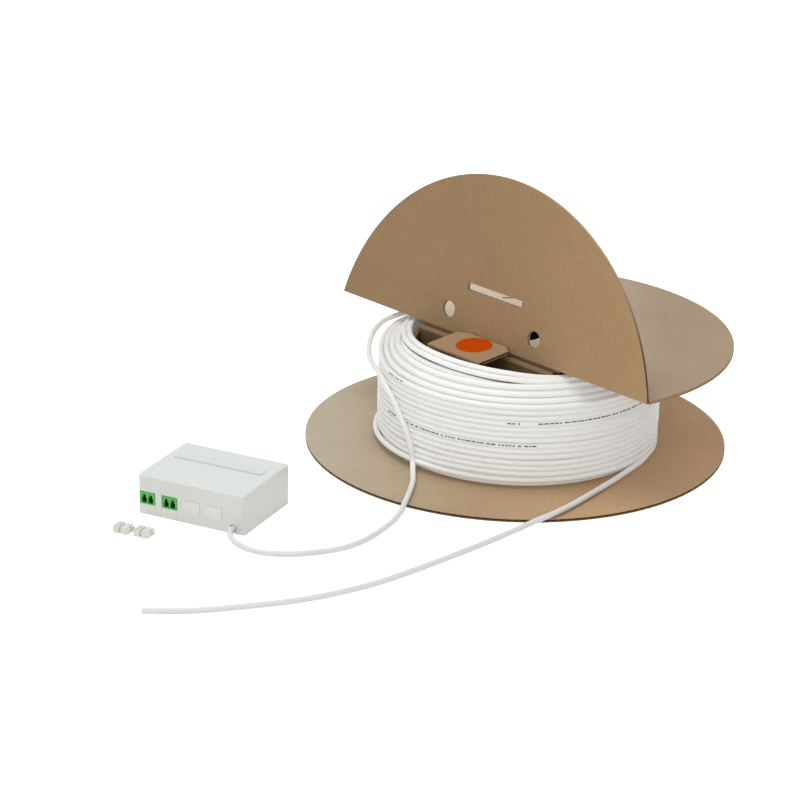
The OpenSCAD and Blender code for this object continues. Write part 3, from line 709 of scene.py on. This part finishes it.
def key_slot(middle):
    low = math.radians(middle - KEY_HALF)
    high = math.radians(middle + KEY_HALF)
    turns = [low + (high - low) * i / KEY_STEPS for i in range(KEY_STEPS + 1)]
    inner = HUB_IN_R - KEY_PLAY
    outer = HUB_R + KEY_PLAY
    outside = [(outer * math.cos(t), outer * math.sin(t)) for t in turns]
    inside = [(inner * math.cos(t), inner * math.sin(t)) for t in reversed(turns)]
    return outside + inside


def disc_part(radius, centre_x, centre_y, edge_y, above):
    reach = math.asin((edge_y - centre_y) / radius)
    start = reach
    end = math.pi - reach
    if not above:
        start = math.pi - reach
        end = 2.0 * math.pi + reach
    turns = [start + (end - start) * i / ARC_STEPS for i in range(ARC_STEPS + 1)]
    return [(centre_x + radius * math.cos(t), centre_y + radius * math.sin(t)) for t in turns]


def add_plate(mesh, loops, low, high, slot):
    flat = [[Vector((x, y, 0.0)) for x, y in loop] for loop in loops]
    triangles = tessellate_polygon(flat)
    points = [p for loop in flat for p in loop]
    bottom = [mesh.verts.new((p.x, p.y, low)) for p in points]
    top = [mesh.verts.new((p.x, p.y, high)) for p in points]
    for triangle in triangles:
        a, b, c = triangle
        normal = (points[b] - points[a]).cross(points[c] - points[a])
        order = triangle if normal.z > 0.0 else (a, c, b)
        upper = mesh.faces.new([top[i] for i in order])
        lower = mesh.faces.new([bottom[i] for i in reversed(order)])
        upper.material_index = slot
        lower.material_index = slot
    first = 0
    for loop in flat:
        count = len(loop)
        for i in range(count):
            j = (i + 1) % count
            side = mesh.faces.new((bottom[first + i], bottom[first + j], top[first + j], top[first + i]))
            side.material_index = slot
        first += count


def crossings(loops, across, along, distance):
    hits = []
    for loop in loops:
        for start, end in zip(loop, loop[1:] + loop[:1]):
            s = start[0] * across[0] + start[1] * across[1] - distance
            e = end[0] * across[0] + end[1] * across[1] - distance
            if (s > 0.0) == (e > 0.0):
                continue
            share = s / (s - e)
            x = start[0] + (end[0] - start[0]) * share
            y = start[1] + (end[1] - start[1]) * share
            hits.append(x * along[0] + y * along[1])
    return sorted(hits)


def add_flutes(mesh, loops, thickness, turn, slot):
    along = (math.cos(math.radians(turn)), math.sin(math.radians(turn)))
    across = (-along[1], along[0])
    spread = [x * across[0] + y * across[1] for x, y in loops[0]]
    step = FLUTE_PITCH / FLUTE_STEPS
    swing = (thickness - 2.0 * LINER_T) / 2.0
    middle = thickness / 2.0
    previous = []
    low = min(spread)
    for i in range(1, int((max(spread) - low) / step)):
        distance = low + i * step
        height = middle + swing * math.sin(2.0 * math.pi * distance / FLUTE_PITCH)
        row = []
        for hit in crossings(loops, across, along, distance):
            x = across[0] * distance + along[0] * hit
            y = across[1] * distance + along[1] * hit
            row.append(mesh.verts.new((x, y, height)))
        if len(row) == len(previous):
            for k in range(0, len(row) - 1, 2):
                face = mesh.faces.new((previous[k], previous[k + 1], row[k + 1], row[k]))
                face.material_index = slot
                face.smooth = True
        previous = row


def board(name, loops, thickness, turn, matrix, face_material, top_material=None):
    mesh = bmesh.new()
    add_plate(mesh, loops, 0.0, LINER_T, 0)
    add_plate(mesh, loops, thickness - LINER_T, thickness, 2)
    add_flutes(mesh, loops, thickness, turn, 1)
    mesh.transform(Matrix.Scale(MM, 4) @ matrix)
    return mesh_piece(name, mesh, face_material, kraft_medium, top_material or face_material)


def shift(x, y, z):
    return Matrix.Translation((x, y, z))


def turn_about(axis, degrees):
    return Matrix.Rotation(math.radians(degrees), 4, axis)


AT_REEL = shift(REEL_X, REEL_Y, 0.0) @ turn_about("Z", CREASE_TURN)
AT_UPPER = AT_REEL @ shift(0.0, 0.0, FLANGE_UNDER)
AT_HINGE = AT_REEL @ shift(0.0, -HINGE_W, HINGE_Z) @ turn_about("X", -FLAP_ANGLE)
AT_FLAP = AT_HINGE @ shift(0.0, 0.0, -BOARD_T - FOLD_GAP / 2)
AT_TAB = AT_REEL @ shift(FLAP_U, -FRONT_WALL_W, TAB_Z) @ turn_about("X", TAB_TILT)


def add_boards():
    spindle = circle(0.0, 0.0, SPINDLE_R, SPINDLE_SIDES)
    keys = [key_slot(angle) for angle in KEY_ANGLES]
    lower_rim = circle(LOWER_SHIFT[0], LOWER_SHIFT[1], FLANGE_R, RIM_SIDES)
    lower = board("lower_board", [lower_rim, spindle] + keys, BOARD_T, LOWER_FLUTES_ALONG, AT_REEL, kraft_lower)
    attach(lower, "frame")
    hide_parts("lower_flange")
    fixed_loops = [disc_part(FLANGE_R, 0.0, 0.0, CRUSH_L - CREASE_W, True), spindle, keys[0], keys[1]]
    fixed = board("upper_board_fixed", fixed_loops, BOARD_T, FLUTES_ALONG, AT_UPPER, kraft_fixed)
    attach(fixed, "frame")
    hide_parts("upper_flange_fixed")
    flap_loops = [disc_part(FLAP_R, FLAP_SIDE, HINGE_W + FLAP_BACK, -FOLD_GAP / 2, False)]
    for side in (-1.0, 1.0):
        flap_loops.append(circle(FLAP_U + side * FINGER_U, -FINGER_V, FINGER_R, FINGER_SIDES))
        flap_loops.append(opening(FLAP_U + side * SLIT_U, -SLIT_V, SLIT_L, SLIT_H))
    flap_loops.append(opening(FLAP_U, -SLOT_V, SLOT_L, SLOT_H))
    flap = board("upper_board_flap", flap_loops, BOARD_T, FLUTES_ALONG, AT_FLAP, kraft_flap, kraft_fixed)
    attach(flap, "flap")
    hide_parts("upper_flange_flap")
    out_w = CREASE_W + CLEAR + BOARD_T
    half = math.sqrt(HUB_IN_R ** 2 - out_w ** 2) - CLEAR
    upright = AT_REEL @ shift(0.0, -CREASE_W - CLEAR, 0.0) @ turn_about("X", 90.0)
    outline = rectangle(-half, BOARD_T, half, WALL_TOP)
    cross = board("cross_wall_board", [outline], BOARD_T, FLUTES_ALONG, upright, kraft_inner_shade)
    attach(cross, "frame")
    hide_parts("hub_cross_wall")
    half = math.sqrt(HUB_IN_R ** 2 - (FRONT_WALL_W + BOARD_T) ** 2) - CLEAR
    left = FLAP_U - NECK_W / 2
    right = FLAP_U + NECK_W / 2
    outline = [
        (-half, BOARD_T), (half, BOARD_T), (half, NECK_LOW), (right, NECK_LOW), (right, NECK_TOP),
        (left, NECK_TOP), (left, NECK_LOW), (-half, NECK_LOW),
    ]
    upright = AT_REEL @ shift(0.0, -FRONT_WALL_W, 0.0) @ turn_about("X", 90.0)
    front = board("front_wall_board", [outline], BOARD_T, FLUTES_ALONG, upright, kraft_inner_shade)
    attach(front, "frame")
    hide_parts("hub_front_wall")
    side = TAB_W / 2
    outline = [
        (-side, TAB_CREASE_L), (side, TAB_CREASE_L), (side, TAB_L - TAB_CORNER[1]),
        (side - TAB_CORNER[0], TAB_L), (TAB_CORNER[0] - side, TAB_L), (-side, TAB_L - TAB_CORNER[1]),
    ]
    tab = board("tab_board", [outline], BOARD_T, FLUTES_ALONG, AT_TAB, kraft_face)
    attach(tab, "tab")
    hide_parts("locking_tab")


# Board edges that are closed: bands along the upper rims, the tab's fold, the crease and the cross wall's top
def strip_piece(name, profile_rows, matrix, material):
    mesh = bmesh.new()
    rows = [[mesh.verts.new(p) for p in row] for row in profile_rows]
    for first, second in zip(rows, rows[1:]):
        for i in range(len(first) - 1):
            mesh.faces.new((first[i], first[i + 1], second[i + 1], second[i])).smooth = True
    mesh.transform(Matrix.Scale(MM, 4) @ matrix)
    bmesh.ops.recalc_face_normals(mesh, faces=mesh.faces)
    piece = mesh_piece(name, mesh, material)
    return piece


def rim_rows(arc, centre_x, centre_y, band):
    rows = []
    for x, y in arc:
        out = Vector((x - centre_x, y - centre_y)).normalized()
        rows.append([(x + out.x * grow, y + out.y * grow, z) for grow, z in band])
    return rows


def add_rims():
    centre_y = HINGE_W + FLAP_BACK
    arc = disc_part(FLAP_R + RIM_OFF, FLAP_SIDE, centre_y, -FOLD_GAP / 2, False)
    rows = rim_rows(arc, FLAP_SIDE, centre_y, FLAP_BAND)
    rim = strip_piece("flap_rim", rows, AT_FLAP, kraft_rim)
    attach(rim, "flap")
    arc = disc_part(FLANGE_R + RIM_OFF, 0.0, 0.0, CRUSH_L - CREASE_W, True)
    rows = rim_rows(arc, 0.0, 0.0, FIXED_BAND)
    rim = strip_piece("fixed_rim", rows, AT_UPPER, kraft_face)
    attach(rim, "frame")


# The tab's fold: its top turns with the tab, its front bends between the wall and the tab
def add_tab_fold():
    bend_r = 1.2
    bend_y = -0.3
    nose_y = bend_y - bend_r
    shoulder = BOARD_T - 0.04
    lap = 0.1
    steps = 6
    top = [(TAB_CREASE_L + lap, BOARD_T), (0.0, BOARD_T), (bend_y, shoulder)]
    front = [(bend_y, shoulder)]
    for i in range(1, steps + 1):
        turn = math.radians(90.0 * i / steps)
        front.append((bend_y - bend_r * math.sin(turn), shoulder - bend_r * (1.0 - math.cos(turn))))
    front += [(nose_y, lap), (nose_y - bend_y, -lap), (0.0, -lap)]
    sides = (-TAB_W / 2, TAB_W / 2)
    fold_top = strip_piece("tab_fold_top", [[(x, y, z) for y, z in top] for x in sides], AT_TAB, kraft_face)
    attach(fold_top, "tab")
    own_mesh(fold_top)
    rows = [[(x, y, z) for y, z in front] for x in sides]
    # The fold's front in painted shade
    fold_front = strip_piece("tab_fold_front", rows, AT_TAB, kraft_fold_shade)
    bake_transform(fold_front)


# Beside the crease the board is crushed to a thin web
def add_web():
    inner = math.sqrt(FLANGE_R ** 2 - (CREASE_W - CRUSH_L) ** 2)
    outer = math.sqrt(FLANGE_R ** 2 - CREASE_W ** 2)
    lap = 0.1
    paper_short = 1.0
    back = CRUSH_L - CREASE_W + lap
    loop = [(-outer, -CREASE_W), (outer, -CREASE_W), (inner, back), (-inner, back)]
    mesh = bmesh.new()
    add_plate(mesh, [loop], FLANGE_TOP - WEB_T, FLANGE_TOP, 0)
    mesh.transform(Matrix.Scale(MM, 4) @ AT_REEL)
    web = mesh_piece("crease_web", mesh, kraft_fixed)
    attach(web, "frame")
    add_crease_paper(outer - paper_short)


# The paper that runs on over the crease, from the web to the flap's outer face
def add_crease_paper(half):
    overlap = 0.45
    lift = 0.03
    fold_lift = 0.1
    on_web = (AT_REEL, (0.0, overlap - CREASE_W, FLANGE_TOP + lift))
    at_fold = (AT_REEL, (0.0, -HINGE_W, FLANGE_TOP + fold_lift))
    on_flap = (AT_FLAP, (0.0, -overlap, BOARD_T + lift))
    along = AT_REEL.to_3x3() @ Vector((1.0, 0.0, 0.0))
    profile = [matrix @ Vector(point) for matrix, point in (on_web, at_fold, on_flap)]
    rows = [[point + along * x for point in profile] for x in (-half, half)]
    paper = strip_piece("crease_paper", rows, Matrix.Identity(4), kraft_fixed)
    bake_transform(paper)


# Closed top edge of the cross wall, and a lip that fills the space between it and the web
def add_wall_top():
    off = 0.05
    band_h = 4.2
    corner = 0.4
    in_w = CREASE_W + CLEAR
    half = math.sqrt(HUB_IN_R ** 2 - (in_w + BOARD_T) ** 2) - CLEAR
    front = in_w + BOARD_T + off
    profile = (
        (front, WALL_TOP - band_h), (front, WALL_TOP - corner),
        (front - corner, WALL_TOP), (in_w, WALL_TOP + off),
    )
    rows = [[(x, -w, z) for w, z in profile] for x in (-half, half)]
    top = strip_piece("cross_wall_top", rows, AT_REEL, kraft_face)
    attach(top, "frame")
    behind = CREASE_W - 0.15
    lip_low = WALL_TOP + 0.12
    reach = math.sqrt(HUB_R ** 2 - CREASE_W ** 2)
    rows = [[(x, -behind, lip_low), (x, -behind, FLANGE_TOP - WEB_T)] for x in (-reach, reach)]
    # The lip in painted shade under the flap
    lip = strip_piece("crease_lip", rows, AT_REEL, kraft_fold_shade)
    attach(lip, "frame")


# A pale sheet just inside each of the flap's two small slits: painted light, for the lit board seen through
# them
def add_slit_light():
    depth = 0.5
    low = -SLIT_V - SLIT_H / 2
    high = -SLIT_V + SLIT_H / 2
    for name, side in (("slit_light_left", -1.0), ("slit_light_right", 1.0)):
        x = FLAP_U + side * SLIT_U
        rows = [[(end, low, depth), (end, high, depth)] for end in (x - SLIT_L / 2, x + SLIT_L / 2)]
        paper = strip_piece(name, rows, AT_FLAP, slit_painted_light)
        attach(paper, "flap")


# Each row of dashes lies on the turn that is nearest to the row's height
def add_print(points):
    outer = points[-POINTS_PER_TURN * (LAYERS[-1][3] + 1):]
    spread = random.Random(5)
    mesh = bmesh.new()
    for start, end, height in PRINT_ROWS:
        first = on_reel(OUTER_R, start, height)
        gaps = [(point - first).length for point in outer]
        place_from = gaps.index(min(gaps))
        arc = math.radians(abs(end - start)) * OUTER_R
        position = 0.0
        while position < arc:
            length = spread.uniform(*PRINT_LENGTHS)
            add_dash(mesh, outer, place_from, -position, length)
            position += length + spread.choice(PRINT_SPACES)
    piece = mesh_piece("print_dashes", mesh, print_ink)
    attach(piece, "frame")
    return piece


def along_points(points, index, distance):
    spacing = (points[1] - points[0]).length
    where = index + distance / spacing
    low = min(max(int(math.floor(where)), 0), len(points) - 2)
    return points[low].lerp(points[low + 1], where - low)


def add_dash(mesh, points, index, start, length):
    rows = []
    for i in range(DASH_STEPS + 1):
        centre = along_points(points, index, start - length * i / DASH_STEPS)
        outward = Vector((centre.x - REEL_X, centre.y - REEL_Y, 0.0)).normalized()
        row = []
        for tilt in PRINT_TILTS:
            lift = math.radians(tilt)
            offset = (outward * math.cos(lift) + Vector((0.0, 0.0, math.sin(lift)))) * (CABLE_D / 2 + PRINT_OFF)
            row.append(mesh.verts.new((centre + offset) * MM))
        rows.append(row)
    for first, second in zip(rows, rows[1:]):
        for i in range(len(first) - 1):
            mesh.faces.new((first[i], first[i + 1], second[i + 1], second[i])).smooth = True


# ---------------------------------------------------------------- other pieces
FINISHES = {
    "base_plate": cover_plastic,
    "adapter_left": port_green_shaded,
    "adapter_right": port_green_shaded,
    "alignment_sleeves": zirconia,
    "adapter_retainer": white_plastic,
    "retainer_screws": screw_steel,
    "pigtail_connectors": green_plastic,
    "pigtail_fibres": fibre_coating,
    "splice_tray": white_plastic,
    "tray_screws": screw_steel,
    "splice_holder": white_plastic,
    "splice_protectors": sleeve_plastic,
    "cable_fibres": fibre_coating,
    "cable_entry": cable_sheath,
    "cable_clamp": white_plastic,
    "clamp_screws": screw_steel,
    "box_cover": cover_plastic,
    "blank_insert_left": blank_plastic,
    "blank_insert_right": blank_plastic,
    "dust_cap_left": cap_plastic,
    "dust_cap_right": cap_plastic,
    "hub_shell": kraft_inner_shade,
    "tab_seal": seal_paper,
}


def soften(node, width, lowest=-1.0):
    mesh = node.data
    weights = mesh.attributes.new("bevel_weight_edge", "FLOAT", "EDGE")
    for edge in mesh.edges:
        heights = [(node.matrix_world @ mesh.vertices[i].co).z for i in edge.vertices]
        weights.data[edge.index].value = 1.0 if min(heights) > lowest * MM else 0.0
    dissolve = node.modifiers.new("dissolve", "DECIMATE")
    dissolve.decimate_type = "DISSOLVE"
    dissolve.angle_limit = math.radians(FLAT_ANGLE)
    rounding = node.modifiers.new("rounding", "BEVEL")
    rounding.width = width * MM
    rounding.segments = EDGE_SEGMENTS
    rounding.limit_method = "WEIGHT" if lowest > 0.0 else "ANGLE"
    rounding.angle_limit = math.radians(SHARP_ANGLE)
    rounding.harden_normals = True
    for polygon in mesh.polygons:
        polygon.use_smooth = True


def finish_nodes():
    for name, material in FINISHES.items():
        node = nodes[name]
        node.data.materials.clear()
        node.data.materials.append(material)
    soften(nodes["box_cover"], COVER_EDGE, COVER_H - COVER_SOFT_H)
    for name in ("adapter_left", "adapter_right", "blank_insert_left", "blank_insert_right"):
        soften(nodes[name], INSERT_EDGE)
    for name in ("dust_cap_left", "dust_cap_right"):
        soften(nodes[name], CAP_EDGE)


# ---------------------------------------------------------------- floor and light
def add_stage():
    data = bpy.data.meshes.new("floor")
    corners = [(x, y, 0.0) for x, y in rectangle(-FLOOR_HALF, -FLOOR_HALF, FLOOR_HALF, FLOOR_HALF)]
    data.from_pydata(corners, [], [(0, 1, 2, 3)])
    floor = place(bpy.data.objects.new("floor", data))
    floor.location = FLOOR_PLACE
    material = new_material("floor", FLOOR_COLOUR, FLOOR_ROUGHNESS)
    tree = material.node_tree
    diffuse = shader_of(material)
    diffuse.inputs["Specular IOR Level"].default_value = 0.0
    glow = add_node(material, "ShaderNodeEmission", Strength=FLOOR_GLOW)
    path = add_node(material, "ShaderNodeLightPath")
    camera_or_gloss = add_node(material, "ShaderNodeMath")
    camera_or_gloss.operation = "MAXIMUM"
    link(material, path.outputs["Is Camera Ray"], camera_or_gloss.inputs[0])
    link(material, path.outputs["Is Glossy Ray"], camera_or_gloss.inputs[1])
    seen = add_node(material, "ShaderNodeMath")
    seen.operation = "MAXIMUM"
    link(material, camera_or_gloss.outputs["Value"], seen.inputs[0])
    link(material, path.outputs["Is Transmission Ray"], seen.inputs[1])
    link(material, seen.outputs["Value"], glow.inputs["Color"])
    both = tree.nodes.new("ShaderNodeAddShader")
    link(material, diffuse.outputs["BSDF"], both.inputs[0])
    link(material, glow.outputs["Emission"], both.inputs[1])
    output = tree.nodes["Material Output"]
    link(material, both.outputs["Shader"], output.inputs["Surface"])
    data.materials.append(material)


def add_world():
    world = bpy.data.worlds.new("studio")
    bpy.context.scene.world = world
    world.use_nodes = True
    tree = world.node_tree
    ambient = tree.nodes["Background"]
    ambient.inputs["Color"].default_value = (*AMBIENT_COLOUR, 1.0)
    ambient.inputs["Strength"].default_value = AMBIENT_STRENGTH
    white = tree.nodes.new("ShaderNodeBackground")
    white.inputs["Color"].default_value = (1.0, 1.0, 1.0, 1.0)
    white.inputs["Strength"].default_value = 1.0
    path = tree.nodes.new("ShaderNodeLightPath")
    mix = tree.nodes.new("ShaderNodeMixShader")
    tree.links.new(path.outputs["Is Camera Ray"], mix.inputs["Fac"])
    tree.links.new(ambient.outputs["Background"], mix.inputs[1])
    tree.links.new(white.outputs["Background"], mix.inputs[2])
    tree.links.new(mix.outputs["Shader"], tree.nodes["World Output"].inputs["Surface"])


def add_light(name, location, target, size, power):
    data = bpy.data.lights.new(name, "AREA")
    data.shape = "DISK"
    data.size = size
    data.energy = power
    light = place(bpy.data.objects.new(name, data))
    light.location = location
    aim = Vector(target) - Vector(location)
    light.rotation_mode = "QUATERNION"
    light.rotation_quaternion = aim.to_track_quat("-Z", "Y")


add_camera()
cable, cable_length = add_cable()
print_dashes = add_print(winding_points())
add_loose_turn("loose_turn_inner", 0.0, 0.0)
add_loose_turn("loose_turn_outer", LOOSE_STEP, 1.0)
add_boards()
add_rims()
add_tab_fold()
add_web()
add_wall_top()
add_slit_light()
finish_nodes()
add_stage()
add_world()
add_light("top_light", (-0.5, 0.1, 2.6), (0.1, 0.2, 0.0), 1.8, 26.0)
add_light("front_light", (0.4, -2.4, 1.6), (0.1, 0.1, 0.05), 1.4, 8.0)
add_light("corner_light", (0.5, -0.55, 0.3), (0.05, -0.04, 0.02), 0.25, 0.3)
bpy.context.scene.view_settings.view_transform = "Standard"
